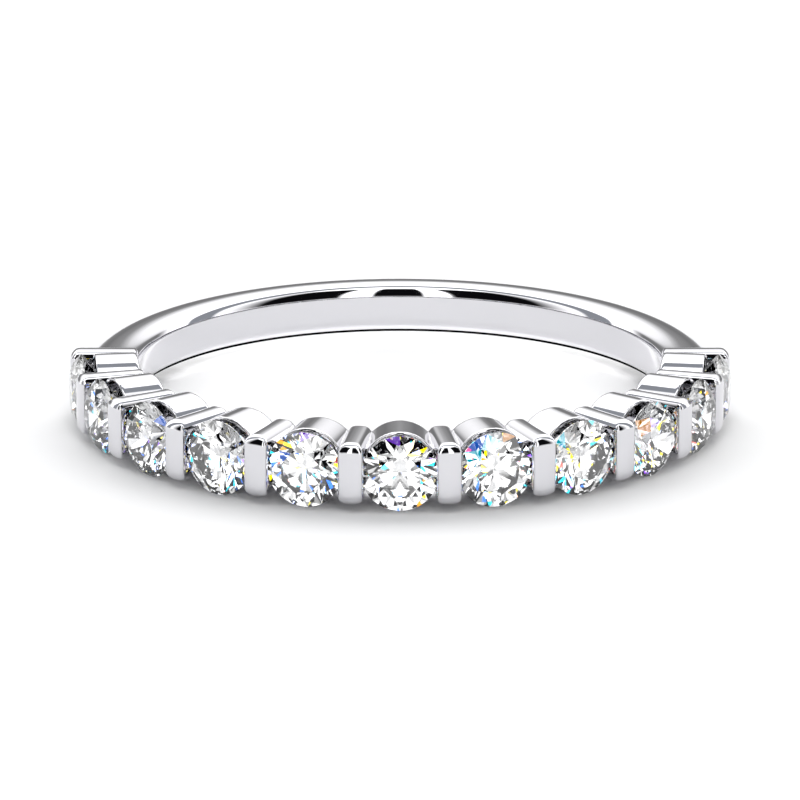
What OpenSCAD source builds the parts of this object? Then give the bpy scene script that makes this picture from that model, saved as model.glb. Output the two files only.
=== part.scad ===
// Half eternity ring with round brilliants held between upright bars.
// The origin is the centre of the finger hole, +Z runs along the hole and
// the middle stone faces -Y. All sizes are millimetres.

/* [Finger hole] */
// Radius of the finger hole
hole_r = 8.6; // [7.5:0.1:10.5]

/* [Stones] */
// Number of stones in the front half
stone_count = 11; // [5:2:11]
// Diameter of each stone at its girdle
stone_d = 2.39; // [2.3:0.01:2.4]
// Angle from one stone to the next
stone_pitch = 16.47; // [16.2:0.01:17]
// Radius from the ring's axis to the flat table of a stone
table_r = 10.8; // [10.7:0.01:10.85]
// Corner to corner width of the table, as a share of the diameter
table_share = 0.57; // [0.53:0.01:0.62]
// Angle of the crown's main facets
crown_angle = 34.5; // [32:0.5:36]
// Angle of the pavilion's main facets
pavilion_angle = 40.8; // [40:0.1:42]
// Thickness of the girdle
girdle_t = 0.06; // [0.03:0.01:0.1]
// Gap left between a stone and the metal
stone_gap = 0.03; // [0.02:0.01:0.05]

/* [Bars] */
// Width of a bar round the ring
bar_w = 0.82; // [0.7:0.01:0.9]
// Half of a bar's height along the finger
bar_half_h = 1.01; // [0.95:0.01:1.1]
// Radius from the ring's axis to a bar's flat front face
bar_face_r = 10.82; // [10.7:0.01:10.9]
// Rounding between a bar's front face and its top and bottom
bar_nose_r = 0.36; // [0.2:0.01:0.4]
// Rounding between a bar's sides and its top and bottom
bar_shoulder_r = 0.22; // [0.1:0.01:0.3]
// Rounding between a bar's front face and its sides
bar_edge_r = 0.12; // [0.05:0.01:0.2]

/* [Cups] */
// Radius of a cup's outside, about its stone's own axis
cup_r = 1.2; // [1.2:0.01:1.3]
// Radius from the ring's axis to a cup's front rim
cup_rim_r = 10; // [9.9:0.05:10.05]
// Rounding of a cup's front rim
cup_round = 0.05; // [0.02:0.01:0.06]
// Radius of the round well that takes a stone's pavilion
well_r = 1.06; // [1:0.01:1.08]
// Radius from the ring's axis to the floor of the well
well_floor_r = 9.5; // [9.4:0.05:9.6]
// Radius of the light hole from the well to the finger hole
light_hole_r = 0.55; // [0.4:0.05:0.7]

/* [Shank] */
// Half of the shank's width along the finger
shank_half_w = 0.82; // [0.75:0.01:0.95]
// Half of the width of the flat that touches the finger
shank_flat_half_w = 0.37; // [0.3:0.01:0.5]
// Outer radius of the shank about its own centre
shank_out_r = 10.52; // [10.3:0.01:10.6]
// Shift of the outer form's centre towards the stones, which tapers the shank
shank_shift = 0.15; // [0:0.01:0.3]

/* [Hidden] */
$fn = 96;

// Facets of one kind round a stone
mains = 8;
step = 360 / mains;
girdle_points = 4 * mains;
stone_r = stone_d / 2;
table_corner_r = stone_r * table_share;
crown_h = (stone_r - table_corner_r) * tan(crown_angle);
pavilion_h = stone_r * tan(pavilion_angle);
// Where the star facets and the lower halves end, measured out from the axis
star_tip_r = stone_r * 0.79;
lower_tip_r = stone_r * 0.24;
// Heights along a stone's axis, measured out from the ring's axis
girdle_top_r = table_r - crown_h;
girdle_low_r = girdle_top_r - girdle_t;
culet_r = girdle_low_r - pavilion_h;

shank_round = shank_half_w - shank_flat_half_w;
shank_ring_r = shank_out_r - shank_half_w;
// Inner end of the raw bars and cups, well inside the finger hole
raw_inner_r = hole_r - 0.9;
// How far a cutter runs past what it cuts
past = 0.5;
// Half size of the blocks that limit the shank
block = 14;

// Angle of stone i, counted round the ring from the middle stone
function stone_angle(i) = (i - (stone_count + 1) / 2) * stone_pitch;
// Angle of bar i, where bar 1 closes the row before stone 1
function bar_angle(i) = stone_angle(i) - stone_pitch / 2;

// Turns a piece drawn along +Z out to its place on the ring, its own Y along the finger
module on_ring(angle) {
    rotate([0, 0, angle]) rotate([90, 0, 0]) children();
}

// Height of a sloping facet plane at a distance from the axis, along its own direction
function crown_z(r, off) = girdle_top_r + (stone_r - r * cos(off)) * tan(crown_angle);
function pavilion_z(r, off) = girdle_low_r - (stone_r - r * cos(off)) * tan(pavilion_angle);
// Point on a circle round the stone's axis
function around(r, a, z) = [r * cos(a), r * sin(a), z];

// How deep the half facets cut into the girdle between two of their corners
girdle_step = 360 / girdle_points;
mid_out = stone_r - stone_r * cos(girdle_step);
star_tip_z = crown_z(star_tip_r, step / 2);
lower_tip_z = pavilion_z(lower_tip_r, step / 2);
mid_in_r = stone_r * cos(girdle_step);
// Middle direction of a half facet and how far its tip lies along that direction
upper_run = mid_in_r - star_tip_r * cos(girdle_step);
lower_run = mid_in_r - lower_tip_r * cos(girdle_step);
upper_scallop = mid_out * (star_tip_z - girdle_top_r) / upper_run;
lower_scallop = mid_out * (girdle_low_r - lower_tip_z) / lower_run;

// Points of a round brilliant, ring by ring from the table to the culet
table_pts = [for (i = [0 : mains - 1]) around(table_corner_r, i * step, table_r)];
star_pts = [for (i = [0 : mains - 1]) around(star_tip_r, (i + 0.5) * step, star_tip_z)];
girdle_top_pts = [for (i = [0 : girdle_points - 1])
    around(stone_r, i * girdle_step, girdle_top_r - (i % 2) * upper_scallop)];
girdle_low_pts = [for (i = [0 : girdle_points - 1])
    around(stone_r, i * girdle_step, girdle_low_r + (i % 2) * lower_scallop)];
lower_pts = [for (i = [0 : mains - 1]) around(lower_tip_r, (i + 0.5) * step, lower_tip_z)];
brilliant_pts = concat(table_pts, star_pts, girdle_top_pts, girdle_low_pts, lower_pts, [[0, 0, culet_r]]);

// First index of each ring of points
star_0 = mains;
top_0 = star_0 + mains;
low_0 = top_0 + girdle_points;
lower_0 = low_0 + girdle_points;
culet_0 = lower_0 + mains;

function wrap(i, n) = (i + n) % n;
function top_i(i) = top_0 + wrap(i, girdle_points);
function low_i(i) = low_0 + wrap(i, girdle_points);

table_face = [[for (i = [mains - 1 : -1 : 0]) i]];
star_faces = [for (i = [0 : mains - 1]) [i, wrap(i + 1, mains), star_0 + i]];
kite_faces = [for (i = [0 : mains - 1]) [star_0 + wrap(i - 1, mains), i, star_0 + i, top_i(4 * i)]];
upper_faces = [for (i = [0 : mains - 1], k = [0, 2])
    [star_0 + i, top_i(4 * i + k + 2), top_i(4 * i + k + 1), top_i(4 * i + k)]];
girdle_faces = [for (i = [0 : girdle_points - 1]) [top_i(i), top_i(i + 1), low_i(i + 1), low_i(i)]];
lower_faces = [for (i = [0 : mains - 1], k = [0, 2])
    [lower_0 + i, low_i(4 * i + k), low_i(4 * i + k + 1), low_i(4 * i + k + 2)]];
main_faces = [for (i = [0 : mains - 1]) [lower_0 + i, culet_0, lower_0 + wrap(i - 1, mains), low_i(4 * i)]];
brilliant_faces = concat(table_face, star_faces, kite_faces, upper_faces, girdle_faces, lower_faces, main_faces);

// One round brilliant with its axis on +Z and its table at table_r
module brilliant() {
    polyhedron(points = brilliant_pts, faces = brilliant_faces, convexity = 2);
}

module stone(i) {
    color([0.93, 0.95, 0.98]) on_ring(stone_angle(i)) brilliant();
}

// Room for one stone: its outline grown by the gap and turned about its axis
module stone_room() {
    slant = stone_gap / cos(pavilion_angle);
    r = stone_r + stone_gap;
    rotate_extrude()
        polygon([
            [0, culet_r - slant],
            [r, girdle_low_r - slant + stone_gap * tan(pavilion_angle)],
            [r, girdle_top_r + stone_gap],
            [table_corner_r + stone_gap, table_r + stone_gap],
            [0, table_r + stone_gap]
        ]);
}

// Rectangle about the origin with rounded corners
module rounded(half_x, half_y, r) {
    square([2 * half_x, 2 * (half_y - r)], center = true);
    square([2 * (half_x - r), 2 * half_y], center = true);
    for (sx = [-1, 1], sy = [-1, 1]) translate([sx * (half_x - r), sy * (half_y - r)]) circle(r = r);
}

// A bar along +Z, its height along Y: the outlines seen from the front, from the side and along the finger
module bar() {
    half_w = bar_w / 2;
    half_d = (bar_face_r - raw_inner_r) / 2;
    intersection() {
        translate([0, 0, raw_inner_r]) linear_extrude(2 * half_d) rounded(half_w, bar_half_h, bar_shoulder_r);
        translate([0, 0, raw_inner_r + half_d]) {
            rotate([0, -90, 0]) linear_extrude(4 * half_w, center = true) rounded(half_d, bar_half_h, bar_nose_r);
        }
        translate([0, 0, raw_inner_r + half_d]) {
            rotate([90, 0, 0]) linear_extrude(4 * bar_half_h, center = true) rounded(half_w, half_d, bar_edge_r);
        }
    }
}

// A cup along +Z with a softly rounded front rim
module cup() {
    translate([0, 0, raw_inner_r]) cylinder(r = cup_r, h = cup_rim_r - cup_round - raw_inner_r);
    translate([0, 0, cup_rim_r - cup_round - past])
        cylinder(r = cup_r - cup_round, h = cup_round + past);
    translate([0, 0, cup_rim_r - cup_round])
        rotate_extrude() translate([cup_r - cup_round, 0]) circle(r = cup_round, $fn = 32);
}

// Well for the pavilion with the light hole under it
module cup_bore() {
    translate([0, 0, well_floor_r]) cylinder(r = well_r, h = cup_rim_r - well_floor_r + past);
    translate([0, 0, raw_inner_r - past]) cylinder(r = light_hole_r, h = cup_rim_r - raw_inner_r);
}

// Outside of the shank: a half round that is thicker towards the stones
module shank_outside() {
    translate([0, -shank_shift, 0])
        rotate_extrude() {
            translate([shank_ring_r, 0]) circle(r = shank_half_w);
            translate([raw_inner_r, -shank_half_w])
                square([shank_ring_r - raw_inner_r, 2 * shank_half_w]);
        }
}

// Inside of the shank: a flat that touches the finger, with rounded shoulders
module shank_inside() {
    shoulder_r = hole_r + shank_round;
    rotate_extrude() {
        translate([shoulder_r, -shank_half_w]) square([block - shoulder_r, 2 * shank_half_w]);
        translate([hole_r, -shank_flat_half_w]) square([block - hole_r, 2 * shank_flat_half_w]);
        for (s = [-1, 1]) translate([shoulder_r, s * shank_flat_half_w]) circle(r = shank_round);
    }
}

// Plain back half of the ring, ending inside the two outer bars
module shank() {
    intersection() {
        shank_outside();
        shank_inside();
        translate([-block, 0, -block]) cube([2 * block, block, 2 * block]);
    }
}

module band() {
    color([0.86, 0.87, 0.89]) difference() {
        union() {
            shank();
            difference() {
                union() {
                    for (i = [1 : stone_count + 1]) on_ring(bar_angle(i)) bar();
                    for (i = [1 : stone_count]) on_ring(stone_angle(i)) cup();
                }
                cylinder(r = hole_r, h = 4 * bar_half_h, center = true);
            }
        }
        for (i = [1 : stone_count]) on_ring(stone_angle(i)) {
            cup_bore();
            stone_room();
        }
    }
}

band();
for (i = [1 : stone_count]) stone(i);
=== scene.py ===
import math

import bpy
import numpy as np
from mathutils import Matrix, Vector


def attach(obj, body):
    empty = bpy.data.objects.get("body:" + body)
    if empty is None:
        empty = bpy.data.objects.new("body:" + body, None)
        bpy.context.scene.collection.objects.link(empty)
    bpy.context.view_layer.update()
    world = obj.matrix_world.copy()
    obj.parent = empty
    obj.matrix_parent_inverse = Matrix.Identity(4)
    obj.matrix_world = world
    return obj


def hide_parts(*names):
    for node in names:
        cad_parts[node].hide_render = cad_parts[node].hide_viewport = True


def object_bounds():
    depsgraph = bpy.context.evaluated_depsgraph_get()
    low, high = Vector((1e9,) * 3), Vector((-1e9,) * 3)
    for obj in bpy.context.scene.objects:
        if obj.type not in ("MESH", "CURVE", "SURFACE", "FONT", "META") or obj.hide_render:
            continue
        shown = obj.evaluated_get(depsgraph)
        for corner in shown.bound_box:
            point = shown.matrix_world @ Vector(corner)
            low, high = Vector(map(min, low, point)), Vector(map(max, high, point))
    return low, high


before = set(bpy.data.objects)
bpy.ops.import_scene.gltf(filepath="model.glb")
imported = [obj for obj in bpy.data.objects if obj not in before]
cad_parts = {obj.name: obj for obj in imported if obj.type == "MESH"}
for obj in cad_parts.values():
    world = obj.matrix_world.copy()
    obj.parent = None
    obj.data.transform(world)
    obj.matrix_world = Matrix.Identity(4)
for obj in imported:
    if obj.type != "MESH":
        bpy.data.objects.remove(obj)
cad_low, cad_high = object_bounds()
MM = 0.001

# Camera, fitted to the photograph's bars, cups and shank. Its distance and clips are in metres, its lens
# and sensor in millimetres.
CAMERA_DISTANCE = 163.16 * MM
CAMERA_ELEVATION = math.radians(16.27)
CAMERA_PITCH = math.radians(16.514)
CAMERA_LENS = 223.95
CAMERA_SENSOR = 36
CAMERA_NEAR = 0.005
CAMERA_FAR = 20

# The ring's sizes in millimetres. A name that ends in _R is a radius.
HOLE_R = 8.6

# Stones and their cut, with the same proportions as in the construction
STONE_COUNT = 11
STONE_R = 1.195
STONE_PITCH = math.radians(16.47)
TABLE_R = 10.8
TABLE_SHARE = 0.57
STAR_SHARE = 0.79
LOWER_SHARE = 0.24
CROWN_TAN = math.tan(math.radians(34.5))
PAVILION_TAN = math.tan(math.radians(40.8))
GIRDLE_T = 0.06
STONE_GAP = 0.03
STONE_MAINS = 8
GIRDLE_POINTS = 8 * STONE_MAINS
# Turn of each stone about its own axis, in degrees
STONE_TURNS = (4, 19, 31, 8, 27, 22.5, 13, 36, 3, 24, 40)

# Radius from the ring's axis to a stone's girdle, above and below, and to its culet
GIRDLE_TOP_R = TABLE_R - STONE_R * (1 - TABLE_SHARE) * CROWN_TAN
GIRDLE_LOW_R = GIRDLE_TOP_R - GIRDLE_T
CULET_R = GIRDLE_LOW_R - STONE_R * PAVILION_TAN

# Bars. Their faces and tops fall away slightly to the sides, which the construction leaves flat.
BAR_HALF_W = 0.41
BAR_HALF_H = 1.01
BAR_FACE_R = 10.82
BAR_NOSE_R = 0.36
BAR_SHOULDER_R = 0.30
BAR_EDGE_R = 0.14
BAR_FACE_ARCH = 0.058
BAR_CREST_ARCH = 0.045
# The fall grows with the square of the way to a side, and stops growing at this share
BAR_ARCH_LIMIT = 1.2

# Cups, and the well and light hole behind each stone. A well's cutter ends a little above the cup's rim.
CUP_R = 1.2
CUP_RIM_R = 10.0
CUP_ROUND = 0.05
WELL_R = 1.06
WELL_FLOOR_R = 9.5
WELL_OVER_RIM = 0.3
LIGHT_HOLE_R = 0.55

# Shank: an oval outside round a centre that lies nearer to the stones, and shoulders at the finger hole
SHANK_HALF_W = 0.86
SHANK_HALF_DEPTH = 1.12
SHANK_OUT_R = 10.52
SHANK_SHIFT = 0.15
SHANK_SHOULDER_R = 0.49
# Half of the depth of the block that rounds the shank's shoulders, more than the shank is thick
SHANK_BLOCK = 2.0

# Inner end of the raw bars and cups, well inside the finger hole, before the hole is cut
RAW_INNER_R = 7.7

# Softness of the joints and edges, in millimetres
JOINT_BLEND = 0.05
EDGE_BLEND = 0.05
HOLE_BLEND = 0.14
WELL_BLEND = 0.03
SHANK_BLEND = 0.08

# Grid that the metal's surface is taken from: its spacing, the half angle of the head and its mean
# radius, the steps along the plain back of the shank, and the cells left free inside, outside and above it
GRID = 0.068
HEAD_ANGLE = math.radians(93.0)
HEAD_MEAN_R = 9.7
SHANK_STEPS = 110
CELLS_INSIDE = 2.3
CELLS_OUTSIDE = 3
CELLS_ABOVE = 1.5

# Moving the grid's points onto the surface: rounds, longest move in a round, least squared slope that a
# move is divided by, and the step that slopes are measured with, for the moves and then for the normals
MOVE_ROUNDS = 4
MOVE_LIMIT = 0.02
LEAST_SLOPE = 0.2
MOVE_STEP = 0.002
NORMAL_STEP = 0.006
# Keeps a divisor away from zero
TINY = 1e-6


def smooth_min(a, b, k):
    """The smaller of two distances, with a soft change over from one to the other."""
    h = np.maximum(k - np.abs(a - b), 0) / k
    return np.minimum(a, b) - h * h * k / 4


def smooth_max(a, b, k):
    return -smooth_min(-a, -b, k)


def rounded_rect(x, y, half_x, half_y, r):
    """Distance to a rectangle about the origin with corners of radius r."""
    qx = np.abs(x) - (half_x - r)
    qy = np.abs(y) - (half_y - r)
    outside = np.hypot(np.maximum(qx, 0), np.maximum(qy, 0))
    return outside + np.minimum(np.maximum(qx, qy), 0) - r


def bar_distance(t, rho, z):
    """A bar, from t across it, rho out from the ring's axis and z along the finger."""
    mid = (RAW_INNER_R + BAR_FACE_R) / 2
    half = (BAR_FACE_R - RAW_INNER_R) / 2
    share = np.minimum((t / BAR_HALF_W) ** 2, BAR_ARCH_LIMIT)
    up = np.abs(z) + BAR_CREST_ARCH * share
    out = rho - mid + BAR_FACE_ARCH * share
    front = rounded_rect(t, up, BAR_HALF_W, BAR_HALF_H, BAR_SHOULDER_R)
    side = rounded_rect(out, up, half, BAR_HALF_H, BAR_NOSE_R)
    plan = rounded_rect(t, out, BAR_HALF_W, half, BAR_EDGE_R)
    return smooth_max(smooth_max(front, side, EDGE_BLEND), plan, EDGE_BLEND)


def cup_distance(s, rho):
    """A cup, from s away from its stone's axis and rho out from the ring's axis."""
    mid = (RAW_INNER_R + CUP_RIM_R) / 2
    half = (CUP_RIM_R - RAW_INNER_R) / 2
    return rounded_rect(s, rho - mid, CUP_R, half, CUP_ROUND)


def room_distance(s, rho):
    """Negative in the room that is cut for a stone, its well and its light hole."""
    r = STONE_R + STONE_GAP
    low = (GIRDLE_LOW_R - STONE_GAP - (r - s) * PAVILION_TAN - rho) / math.hypot(1, PAVILION_TAN)
    high = (rho - GIRDLE_TOP_R - STONE_GAP - (r - s) * CROWN_TAN) / math.hypot(1, CROWN_TAN)
    room = np.maximum(np.maximum(s - r, low), high)
    well = np.maximum(s - WELL_R, WELL_FLOOR_R - rho)
    well = np.maximum(well, rho - CUP_RIM_R - WELL_OVER_RIM)
    return np.minimum(np.minimum(room, well), s - LIGHT_HOLE_R)


def shank_distance(x, y, z):
    """The shank's oval section, cut to its shoulders and to the half behind the stones."""
    across = np.hypot(x, y + SHANK_SHIFT) - SHANK_OUT_R + SHANK_HALF_DEPTH
    u, v = across / SHANK_HALF_DEPTH, z / SHANK_HALF_W
    size = np.hypot(u, v)
    slope = np.hypot(u / SHANK_HALF_DEPTH, v / SHANK_HALF_W)
    oval = size * (size - 1) / np.maximum(slope, TINY)
    depth = np.hypot(x, y) - HOLE_R - SHANK_BLOCK
    inside = rounded_rect(depth, z, SHANK_BLOCK, SHANK_HALF_W, SHANK_SHOULDER_R)
    return np.maximum(smooth_max(oval, inside, SHANK_BLEND), -y)


def band_distance(x, y, z):
    """Distance to the metal's surface in millimetres, negative inside."""
    r = np.hypot(x, y)
    a = np.arctan2(x, -y)
    last = STONE_COUNT // 2
    bar_turn = (np.clip(np.floor(a / STONE_PITCH), -last - 1, last) + 0.5) * STONE_PITCH
    bar = bar_distance(r * np.sin(a - bar_turn), r * np.cos(a - bar_turn), z)
    cup_turn = np.clip(np.round(a / STONE_PITCH), -last, last) * STONE_PITCH
    s = np.hypot(r * np.sin(a - cup_turn), z)
    rho = r * np.cos(a - cup_turn)
    head = smooth_max(smooth_min(bar, cup_distance(s, rho), JOINT_BLEND), HOLE_R - r, HOLE_BLEND)
    whole = smooth_min(head, shank_distance(x, y, z), JOINT_BLEND)
    return smooth_max(whole, -room_distance(s, rho), WELL_BLEND)


def to_xyz(a, r, z):
    """Point at angle a from the middle stone, radius r and height z."""
    return np.stack([r * np.sin(a), -r * np.cos(a), z], -1)


def gradient(p, h):
    """Slope of the distance at each point, from two places h away along each axis."""
    g = np.empty_like(p)
    for axis in range(3):
        step = np.zeros(3)
        step[axis] = h
        ahead, behind = p + step, p - step
        g[:, axis] = band_distance(*ahead.T) - band_distance(*behind.T)
    return g / (2 * h)


def grid_lines():
    """Angles, radii and heights of the grid. The angles close on themselves round the ring."""
    head_steps = int(2 * HEAD_ANGLE * HEAD_MEAN_R / GRID)
    head = np.linspace(-HEAD_ANGLE, HEAD_ANGLE, head_steps + 1)
    back = np.linspace(HEAD_ANGLE, 2 * math.pi - HEAD_ANGLE, SHANK_STEPS + 1)[1:-1]
    angles = np.concatenate([head, back])
    radii = np.arange(HOLE_R - CELLS_INSIDE * GRID, BAR_FACE_R + CELLS_OUTSIDE * GRID, GRID)
    half_z = GRID * (math.ceil(CUP_R / GRID) + CELLS_ABOVE)
    heights = np.arange(-half_z, half_z + GRID / 2, GRID)
    return angles, radii, heights


def cell_points(field, cells):
    """Middle of the places where the surface crosses each cell's edges, as shares of the cell."""
    corners = [(i, j, k) for i in (0, 1) for j in (0, 1) for k in (0, 1)]
    values = {}
    for c in corners:
        at = cells + np.array(c)
        values[c] = field[at[:, 0] % len(field), at[:, 1], at[:, 2]]
    total = np.zeros((len(cells), 3))
    hits = np.zeros(len(cells))
    for c in corners:
        for axis in range(3):
            if c[axis]:
                continue
            d = tuple(v + (m == axis) for m, v in enumerate(c))
            f0, f1 = values[c], values[d]
            cross = (f0 < 0) != (f1 < 0)
            share = np.where(cross, f0 / np.where(cross, f0 - f1, 1), 0)
            spot = np.array(c, float)[None, :].repeat(len(cells), 0)
            spot[:, axis] += share
            total += spot * cross[:, None]
            hits += cross
    return total / hits[:, None]


def surface_cells(inside):
    """Cells that the surface passes through, and a table of their numbers with -1 elsewhere."""
    n = inside.shape
    count = np.zeros((n[0], n[1] - 1, n[2] - 1), np.int8)
    for side in (inside, np.roll(inside, -1, axis=0)):
        for j in (0, 1):
            for k in (0, 1):
                count += side[:, j : n[1] - 1 + j, k : n[2] - 1 + k]
    cells = np.argwhere((count > 0) & (count < 8))
    numbers = np.full(count.shape, -1, np.int64)
    numbers[tuple(cells.T)] = np.arange(len(cells))
    return cells, numbers


def surface_quads(inside, numbers):
    """One quad for each grid edge that crosses the surface, between the four cells round it."""
    quads = []
    for axis in range(3):
        if axis == 0:
            change = inside != np.roll(inside, -1, axis=0)
        else:
            lead = [slice(None)] * 3
            tail = [slice(None)] * 3
            lead[axis], tail[axis] = slice(1, None), slice(None, -1)
            change = np.zeros_like(inside)
            change[tuple(tail)] = inside[tuple(lead)] != inside[tuple(tail)]
        edges = np.argwhere(change)
        u, v = [(1, 2), (2, 0), (0, 1)][axis]
        ring = []
        for du, dv in ((0, 0), (1, 0), (1, 1), (0, 1)):
            cell = edges.copy()
            cell[:, u] -= du
            cell[:, v] -= dv
            ring.append(numbers[cell[:, 0] % len(inside), cell[:, 1], cell[:, 2]])
        ring = np.stack(ring, 1)
        out = inside[tuple(edges.T)]
        ring[out] = ring[out][:, ::-1]
        quads.append(ring)
    return np.concatenate(quads)


def band_surface():
    """Vertices, quads and normals of the metal, taken from a grid round the ring."""
    angles, radii, heights = grid_lines()
    aa, rr, zz = np.meshgrid(angles, radii, heights, indexing="ij")
    pts = to_xyz(aa, rr, zz)
    field = band_distance(pts[..., 0], pts[..., 1], pts[..., 2])
    inside = field < 0
    cells, numbers = surface_cells(inside)
    offset = cell_points(field, cells)
    wrapped = np.append(angles, angles[0] + 2 * math.pi)
    a0, a1 = wrapped[cells[:, 0]], wrapped[cells[:, 0] + 1]
    a = a0 + (a1 - a0) * offset[:, 0]
    r = radii[0] + (cells[:, 1] + offset[:, 1]) * GRID
    z = heights[0] + (cells[:, 2] + offset[:, 2]) * GRID
    p = to_xyz(a, r, z)

    # Each point follows the slope onto the surface
    for _ in range(MOVE_ROUNDS):
        g = gradient(p, MOVE_STEP)
        d = band_distance(*p.T)
        move = g * (d / np.maximum((g * g).sum(1), LEAST_SLOPE))[:, None]
        size = np.linalg.norm(move, axis=1, keepdims=True)
        p = p - move * np.minimum(1, MOVE_LIMIT / np.maximum(size, TINY))
    quads = surface_quads(inside, numbers)
    normals = gradient(p, NORMAL_STEP)
    normals /= np.linalg.norm(normals, axis=1, keepdims=True)
    return p, quads, normals


def link(name, data):
    ob = bpy.data.objects.new(name, data)
    bpy.context.scene.collection.objects.link(ob)
    return ob


def make_band(mat):
    p, quads, normals = band_surface()
    mesh = bpy.data.meshes.new("band_polished")
    mesh.from_pydata((p * MM).tolist(), [], quads.tolist())
    mesh.polygons.foreach_set("use_smooth", np.ones(len(quads), bool))
    mesh.normals_split_custom_set_from_vertices(normals.tolist())
    mesh.materials.append(mat)
    ob = link("band_polished", mesh)
    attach(ob, "root")
    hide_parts("band")


def facet_ring(r, shift, z):
    """One point for each main facet, at radius r and height z, turned by a share of a facet."""
    points = []
    for i in range(STONE_MAINS):
        turn = (i + shift) * 2 * math.pi / STONE_MAINS
        points.append((r * math.cos(turn), r * math.sin(turn), z))
    return points


def brilliant_mesh(name):
    """A round brilliant with its axis on +Z and its heights measured from the ring's axis."""
    per_main = GIRDLE_POINTS // STONE_MAINS
    turn = 2 * math.pi / GIRDLE_POINTS
    half = math.pi / STONE_MAINS
    table_r = STONE_R * TABLE_SHARE
    star_r = STONE_R * STAR_SHARE
    lower_r = STONE_R * LOWER_SHARE
    star_z = GIRDLE_TOP_R + (STONE_R - star_r * math.cos(half)) * CROWN_TAN
    lower_z = GIRDLE_LOW_R - (STONE_R - lower_r * math.cos(half)) * PAVILION_TAN

    # A flat facet meets the girdle's round side in a slight bow
    quarter = math.cos(half / 2)
    crown_slope = (star_z - GIRDLE_TOP_R) / (STONE_R * quarter - star_r * quarter)
    lower_slope = (GIRDLE_LOW_R - lower_z) / (STONE_R * quarter - lower_r * quarter)
    points = facet_ring(table_r, 0, TABLE_R) + facet_ring(star_r, 0.5, star_z)
    for low in (False, True):
        for i in range(GIRDLE_POINTS):
            away = abs(((i + per_main / 4) % (per_main / 2)) - per_main / 4) * turn
            sag = STONE_R * (math.cos(half / 2 - away) - quarter)
            z = GIRDLE_LOW_R + sag * lower_slope if low else GIRDLE_TOP_R - sag * crown_slope
            points.append((STONE_R * math.cos(i * turn), STONE_R * math.sin(i * turn), z))
    points += facet_ring(lower_r, 0.5, lower_z) + [(0, 0, CULET_R)]

    # First point of each ring: star tips, girdle above, girdle below, lower facets' tips, culet
    star_0, top_0 = STONE_MAINS, 2 * STONE_MAINS
    low_0 = top_0 + GIRDLE_POINTS
    lower_0 = low_0 + GIRDLE_POINTS
    culet = lower_0 + STONE_MAINS
    faces = [list(range(STONE_MAINS))]
    for i in range(STONE_MAINS):
        ahead, back = (i + 1) % STONE_MAINS, (i - 1) % STONE_MAINS
        faces.append([ahead, i, star_0 + i])
        faces.append([i, star_0 + back, top_0 + per_main * i, star_0 + i])
        faces.append([culet, lower_0 + i, low_0 + per_main * i, lower_0 + back])
        for part in (0, 1):
            first = per_main * i + part * per_main // 2
            span = [(first + m) % GIRDLE_POINTS for m in range(per_main // 2 + 1)]
            faces.append([star_0 + i] + [top_0 + m for m in span])
            faces.append([lower_0 + i] + [low_0 + m for m in reversed(span)])
    for i in range(GIRDLE_POINTS):
        ahead = (i + 1) % GIRDLE_POINTS
        faces.append([top_0 + ahead, top_0 + i, low_0 + i, low_0 + ahead])
    mesh = bpy.data.meshes.new(name)
    mesh.from_pydata([(x * MM, y * MM, z * MM) for x, y, z in points], [], faces)
    mesh.validate()
    return mesh


def make_stones(mat):
    stones = []
    for i in range(STONE_COUNT):
        angle = (i - STONE_COUNT // 2) * STONE_PITCH
        mesh = brilliant_mesh(f"cut_stone_{i + 1}")
        own_turn = math.radians(STONE_TURNS[i])
        c, s = math.cos(own_turn), math.sin(own_turn)
        for v in mesh.vertices:
            x, y, z = v.co
            along, up = x * c - y * s, x * s + y * c
            v.co = (
                z * math.sin(angle) + along * math.cos(angle),
                -z * math.cos(angle) + along * math.sin(angle),
                up,
            )
        mesh.update()
        mesh.materials.append(mat)
        ob = link(f"cut_stone_{i + 1}", mesh)
        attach(ob, "root")
        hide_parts(f"stone_{i + 1}")
        stones.append(ob)
    return stones


def make_camera():
    data = bpy.data.cameras.new("camera")
    data.lens = CAMERA_LENS
    data.sensor_width = CAMERA_SENSOR
    data.clip_start = CAMERA_NEAR
    data.clip_end = CAMERA_FAR
    cam = link("camera", data)
    cam.location = (
        0,
        -CAMERA_DISTANCE * math.cos(CAMERA_ELEVATION),
        CAMERA_DISTANCE * math.sin(CAMERA_ELEVATION),
    )
    cam.rotation_euler = (math.pi / 2 - CAMERA_PITCH, 0, 0)
    bpy.context.scene.camera = cam


# Materials. A noise is given by its scale and detail, a tint by the colours of its low and high parts.
METAL_COLOR = (0.69, 0.686, 0.712, 1)
METAL_WEAR = (900, 4)
METAL_ROUGHNESS = (0.02, 0.07)
METAL_POLISH = (2600, 3)
POLISH_STRENGTH = 0.02
POLISH_DEPTH = 0.00001
STONE_IOR = 2.417
STONE_CLOUDS = (1400, 3)
STONE_TINTS = ((0.985, 0.99, 1.0), (1.0, 1.0, 1.0))
FLOOR_GRAIN = (120, 5)
FLOOR_TINTS = ((0.94, 0.94, 0.945), (0.96, 0.96, 0.96))
FLOOR_ROUGHNESS = (0.75, 0.85)
FLOOR_SPECULAR = 0.1
# Grain, near-black tints and roughness of the card under the shank, which is a painted contact shadow
SHADOW_CARD_GRAIN = (900, 2)
SHADOW_CARD_TINTS = ((0.008, 0.008, 0.009), (0.012, 0.012, 0.013))
SHADOW_CARD_ROUGHNESS = 0.9
TINT_PLACES = (0.3, 0.7)


def principled(name, **values):
    mat = bpy.data.materials.new(name)
    mat.use_nodes = True
    node = mat.node_tree.nodes["Principled BSDF"]
    for key, value in values.items():
        node.inputs[key.replace("_", " ")].default_value = value
    return mat, mat.node_tree.nodes, mat.node_tree.links, node


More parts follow.
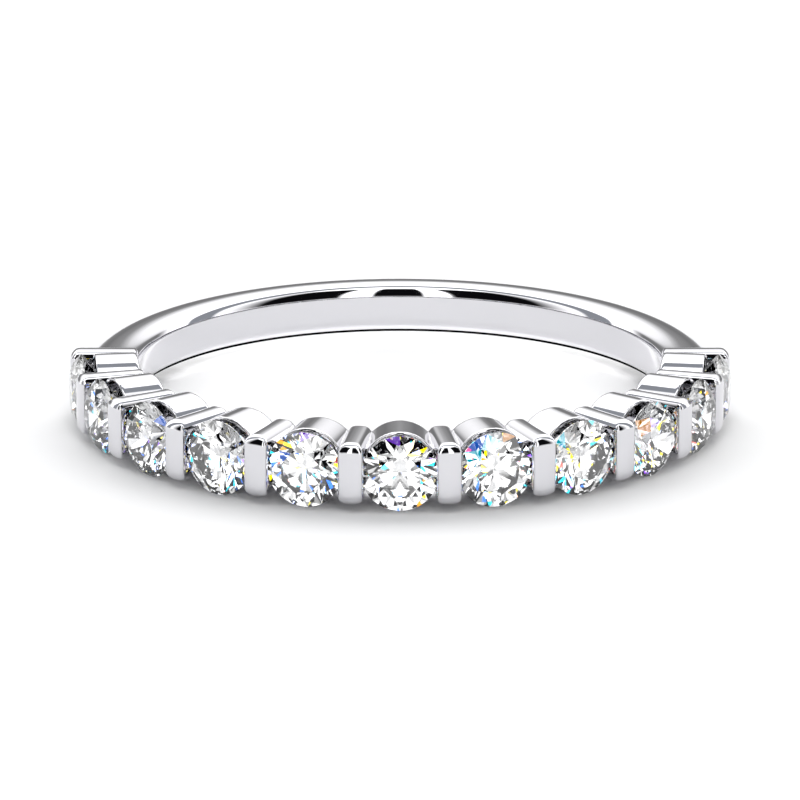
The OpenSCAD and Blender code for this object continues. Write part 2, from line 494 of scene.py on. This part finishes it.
def object_noise(nodes, links, scale, detail):
    coord = nodes.new("ShaderNodeTexCoord")
    noise = nodes.new("ShaderNodeTexNoise")
    noise.inputs["Scale"].default_value = scale
    noise.inputs["Detail"].default_value = detail
    links.new(coord.outputs["Object"], noise.inputs["Vector"])
    return noise.outputs["Fac"]


def spread(nodes, links, source, limits, target):
    ranged = nodes.new("ShaderNodeMapRange")
    ranged.inputs["To Min"].default_value = limits[0]
    ranged.inputs["To Max"].default_value = limits[1]
    links.new(source, ranged.inputs["Value"])
    links.new(ranged.outputs["Result"], target)


def tinted(nodes, links, source, colors, target):
    ramp = nodes.new("ShaderNodeValToRGB")
    for item, at, color in zip(ramp.color_ramp.elements, TINT_PLACES, colors):
        item.position = at
        item.color = (*color, 1)
    links.new(source, ramp.inputs["Fac"])
    links.new(ramp.outputs["Color"], target)


def metal_material():
    mat, nodes, links, node = principled("white_metal", Base_Color=METAL_COLOR, Metallic=1.0)
    wear = object_noise(nodes, links, *METAL_WEAR)
    spread(nodes, links, wear, METAL_ROUGHNESS, node.inputs["Roughness"])
    polish = object_noise(nodes, links, *METAL_POLISH)
    bump = nodes.new("ShaderNodeBump")
    bump.inputs["Strength"].default_value = POLISH_STRENGTH
    bump.inputs["Distance"].default_value = POLISH_DEPTH
    links.new(polish, bump.inputs["Height"])
    links.new(bump.outputs["Normal"], node.inputs["Normal"])
    return mat


def stone_material():
    mat, nodes, links, node = principled("stone", IOR=STONE_IOR, Transmission_Weight=1.0, Roughness=0.0)
    clouds = object_noise(nodes, links, *STONE_CLOUDS)
    tinted(nodes, links, clouds, STONE_TINTS, node.inputs["Base Color"])
    return mat


# Floor: half of its side and how far it lies below the ring, in metres
FLOOR_HALF = 3.0
FLOOR_DROP = 0.00001


def make_floor():
    s = FLOOR_HALF
    z = cad_low.z - FLOOR_DROP
    mesh = bpy.data.meshes.new("floor")
    mesh.from_pydata([(-s, -s, z), (s, -s, z), (s, s, z), (-s, s, z)], [], [(0, 1, 2, 3)])
    mat, nodes, links, node = principled("floor", Specular_IOR_Level=FLOOR_SPECULAR)
    grain = object_noise(nodes, links, *FLOOR_GRAIN)
    tinted(nodes, links, grain, FLOOR_TINTS, node.inputs["Base Color"])
    spread(nodes, links, grain, FLOOR_ROUGHNESS, node.inputs["Roughness"])
    mesh.materials.append(mat)
    floor = link("floor", mesh)
    return floor


# Narrow black card just under the shank, put where there is only shade: a painted contact shadow that
# draws the shank's lower edge as a dark line. Half arc, then millimetres
SHADOW_CARD_ARC = math.radians(78)
SHADOW_CARD_STEPS = 48
SHADOW_CARD_R = 8.95
SHADOW_CARD_SHIFT = 0.23
SHADOW_CARD_WIDTH = 0.6
SHADOW_CARD_LIFT = 0.25


# Lays the black card under the shank that paints its contact shadow on the floor
def make_painted_shadow_card():
    points, faces = [], []
    height = cad_low.z + SHADOW_CARD_LIFT * MM
    for i in range(SHADOW_CARD_STEPS + 1):
        turn = SHADOW_CARD_ARC * (2 * i / SHADOW_CARD_STEPS - 1)
        inner = SHADOW_CARD_R + SHADOW_CARD_SHIFT * math.cos(turn)
        for r in (inner, inner + SHADOW_CARD_WIDTH):
            points.append((r * math.sin(turn) * MM, r * math.cos(turn) * MM, height))
        if i:
            faces.append((2 * i - 2, 2 * i - 1, 2 * i + 1, 2 * i))
    mesh = bpy.data.meshes.new("painted_shadow_card")
    mesh.from_pydata(points, [], faces)
    mat, nodes, links, node = principled("painted_shadow_card", Roughness=SHADOW_CARD_ROUGHNESS, Specular_IOR_Level=0.0)
    grain = object_noise(nodes, links, *SHADOW_CARD_GRAIN)
    tinted(nodes, links, grain, SHADOW_CARD_TINTS, node.inputs["Base Color"])
    mesh.materials.append(mat)
    link("painted_shadow_card", mesh)


# Studio light by direction, as pairs of a height above the horizon in degrees and a brightness, and the
# strength of all of it
BEHIND = (
    (0, 0.5), (5, 0.25), (12, 0.22), (16.5, 0.34), (20, 0.95),
    (24, 1.3), (33, 1.5), (36, 2.8), (90, 2.8),
)
FRONT = ((0, 2.2), (71, 2.2), (81, 2.6), (90, 2.8))
STUDIO_STRENGTH = 1.04
# Black cards in front: how dark they are by height in degrees, then where each starts and ends round the
# ring and how softly it does so, all in degrees to the right of the middle stone
CARD_HEIGHT = ((0, 0.7), (4, 0.7), (7, 1.0), (67, 1.0), (69, 0.0), (90, 0.0))
CARD_SHARP = 0.7
CARD_FADE = 26
CARD_EDGES = (
    (-64, -24, CARD_FADE, CARD_SHARP),
    (-10, 12, CARD_SHARP, CARD_SHARP),
    (27, 64, CARD_SHARP, CARD_FADE),
)
CARD_COLOR = (0.004, 0.004, 0.005, 1)
# Share of the studio behind, from straight in front at 0 to straight behind at 1
SIDE_STOPS = ((0.0, 0.0), (0.72, 0.0), (0.84, 1.0), (1.0, 1.0))
# Grey seam overhead between the front light and the back one, by the same direction
SEAM_STOPS = ((0.0, 0.0), (0.475, 0.0), (0.515, 1.0), (0.635, 1.0), (0.655, 0.0), (1.0, 0.0))
SEAM_COLOR = (0.34, 0.36, 0.39, 1)


def by_height(table):
    return [(degrees / 90, value) for degrees, value in table]


def turn_stops(edges):
    """Stops of the cards round the ring, where 0 and 1 are straight behind and 0.5 is in front."""
    stops = [(0.0, 0.0)]
    for first, last, before, after in edges:
        for at, value in ((first - before, 0.0), (first, 1.0), (last, 1.0), (last + after, 0.0)):
            stops.append((at / 360 + 0.5, value))
    return stops + [(1.0, 0.0)]


def make_world():
    world = bpy.data.worlds.new("studio")
    bpy.context.scene.world = world
    world.use_nodes = True
    nodes, links = world.node_tree.nodes, world.node_tree.links
    coord = nodes.new("ShaderNodeTexCoord")
    split = nodes.new("ShaderNodeSeparateXYZ")
    links.new(coord.outputs["Generated"], split.inputs[0])
    right, away, up = split.outputs["X"], split.outputs["Y"], split.outputs["Z"]

    def feed(socket, value):
        """Set a socket to a number or colour, or join it to another node's output."""
        if isinstance(value, (int, float, tuple)):
            socket.default_value = value
        elif value is not None:
            links.new(value, socket)

    def math_node(op, a, b=None):
        node = nodes.new("ShaderNodeMath")
        node.operation = op
        feed(node.inputs[0], a)
        feed(node.inputs[1], b)
        return node.outputs[0]

    def ramp(source, stops, smooth=False):
        node = nodes.new("ShaderNodeValToRGB")
        node.color_ramp.interpolation = "EASE" if smooth else "LINEAR"
        items = node.color_ramp.elements
        while len(items) < len(stops):
            items.new(0.5)
        for item, (at, value) in zip(items, stops):
            item.position = at
            item.color = (value, value, value, 1)
        links.new(source, node.inputs[0])
        return node.outputs[0]

    def mixed(share, under, over):
        node = nodes.new("ShaderNodeMix")
        node.data_type = "RGBA"
        links.new(share, node.inputs["Factor"])
        feed(node.inputs[6], under)
        feed(node.inputs[7], over)
        return node.outputs[2]

    elevation = math_node("DIVIDE", math_node("ARCSINE", up), math.pi / 2)
    azimuth = math_node("ARCTAN2", right, math_node("MULTIPLY", away, -1))
    turn = math_node("ADD", math_node("DIVIDE", azimuth, 2 * math.pi), 0.5)
    depth = math_node("ADD", math_node("MULTIPLY", away, 0.5), 0.5)

    behind = ramp(elevation, by_height(BEHIND))
    front = ramp(elevation, by_height(FRONT))
    cards = ramp(turn, turn_stops(CARD_EDGES))
    dark = math_node("MULTIPLY", cards, ramp(elevation, by_height(CARD_HEIGHT)))
    both = mixed(ramp(depth, SIDE_STOPS, True), mixed(dark, front, CARD_COLOR), behind)
    back = nodes["Background"]
    links.new(mixed(ramp(depth, SEAM_STOPS), both, SEAM_COLOR), back.inputs["Color"])
    back.inputs["Strength"].default_value = STUDIO_STRENGTH


# Small lights that only the stones show, in front of the black cards, as their fire and sparkle
CYAN, BLUE, VIOLET = (0.0, 0.75, 1.0), (0.02, 0.2, 1.0), (0.3, 0.08, 1.0)
YELLOW, ORANGE, RED = (1.0, 0.82, 0.0), (1.0, 0.38, 0.01), (1.0, 0.05, 0.02)
FIRE_COLORS = (BLUE, YELLOW, CYAN, VIOLET, YELLOW, BLUE, ORANGE, CYAN, YELLOW, RED)
SPARKLE_COLORS = ((1.0, 1.0, 1.0), (0.96, 0.97, 1.0))
# Their spread round the ring and in height in degrees, and their distance from the head in metres
FIRE_TURN = (-84, 84)
FIRE_HEIGHT = (8, 67)
FIRE_DISTANCE = 0.4
# Name, how many, half of the angle that each spans, brightness, first place in the spread, colours
FIRE_SETS = (
    ("fire", 26, 4.2, 2.6, 0.11, FIRE_COLORS),
    ("sparkle", 9, 5.0, 2.2, 0.47, SPARKLE_COLORS),
)
# Step from one light to the next round the ring, as a share of the spread
GOLDEN = 0.618


def collection_of(name, objects):
    group = bpy.data.collections.new(name)
    for ob in objects:
        group.objects.link(ob)
    return group


def area_light(name, spot, rotation, size, radiance, receivers):
    """A flat light that only the receivers show, round where its sides are equal."""
    is_round = size[0] == size[1]
    data = bpy.data.lights.new(name, "AREA")
    data.shape = "ELLIPSE" if is_round else "RECTANGLE"
    data.size, data.size_y = size
    fill = math.pi / 4 if is_round else 1.0
    data.energy = radiance * math.pi * size[0] * size[1] * fill
    ob = link(name, data)
    ob.location = spot
    ob.rotation_euler = rotation
    ob.visible_camera = False
    ob.light_linking.receiver_collection = receivers
    return ob


def between(limits, share):
    """Angle in radians at a share of the way between two limits in degrees."""
    return math.radians(limits[0] + (limits[1] - limits[0]) * share)


def make_fire(stones):
    receivers = collection_of("fire_receivers", stones)
    head = Vector((0, -HOLE_R * MM, 0))
    for name, count, half_angle, radiance, start, colors in FIRE_SETS:
        size = 2 * FIRE_DISTANCE * math.tan(math.radians(half_angle))
        for i in range(count):
            turn = between(FIRE_TURN, (i * GOLDEN + start) % 1)
            height = between(FIRE_HEIGHT, (i + 0.5) / count)
            flat = math.cos(height)
            direction = Vector((flat * math.sin(turn), -flat * math.cos(turn), math.sin(height)))
            rotation = direction.to_track_quat("Z", "Y").to_euler()
            spot = head + direction * FIRE_DISTANCE
            ob = area_light(f"{name}_{i}", spot, rotation, (size, size), radiance, receivers)
            ob.data.color = colors[i % len(colors)]


# Flat lights just above the floor, which only the stones show: middle, size and lift in millimetres
GLOW_FIELDS = (
    ((0, -43.5), (120, 60)),
    ((-38, -4.5), (48, 18)),
    ((38, -4.5), (48, 18)),
)
GLOW_LIFT = 0.01
GLOW_RADIANCE = 0.8


def make_glow(stones):
    receivers = collection_of("glow_receivers", stones)
    for i, (middle, size) in enumerate(GLOW_FIELDS):
        spot = (middle[0] * MM, middle[1] * MM, cad_low.z + GLOW_LIFT * MM)
        side = [length * MM for length in size]
        area_light(f"glow_{i}", spot, (math.pi, 0, 0), side, GLOW_RADIANCE, receivers)


# Rows of small lights beside and under the shank, which lift its shadow on the floor and nothing else.
# Each row has a radius, a height above the floor and a width in millimetres, and a brightness.
FILL_ROWS = ((9.2, 0.2, 1.3, 0.9), (8.2, 1.0, 0.7, 1.1))
FILL_COUNT = 17
FILL_ARC = math.radians(67)
FILL_LENGTH = 1.37
# Brightness in the middle of a row, from which the fourth power of the way to its end is taken
FILL_MIDDLE = 1.05


def make_fill(floor):
    receivers = collection_of("fill_receivers", [floor])
    for row, (r, lift, width, radiance) in enumerate(FILL_ROWS):
        for i in range(FILL_COUNT):
            share = 2 * i / (FILL_COUNT - 1) - 1
            turn = FILL_ARC * share
            spot = Vector((r * math.sin(turn), r * math.cos(turn), lift)) * MM
            spot.z += cad_low.z
            size = (FILL_LENGTH * MM, width * MM)
            faded = radiance * (FILL_MIDDLE - share**4)
            area_light(f"fill_{row}_{i}", spot, (0, 0, -turn), size, faded, receivers)


make_camera()
make_world()
make_fill(make_floor())
# Black card under the shank: a painted contact shadow
make_painted_shadow_card()
make_band(metal_material())
stones = make_stones(stone_material())
make_fire(stones)
make_glow(stones)
bpy.context.scene.view_settings.view_transform = "Standard"
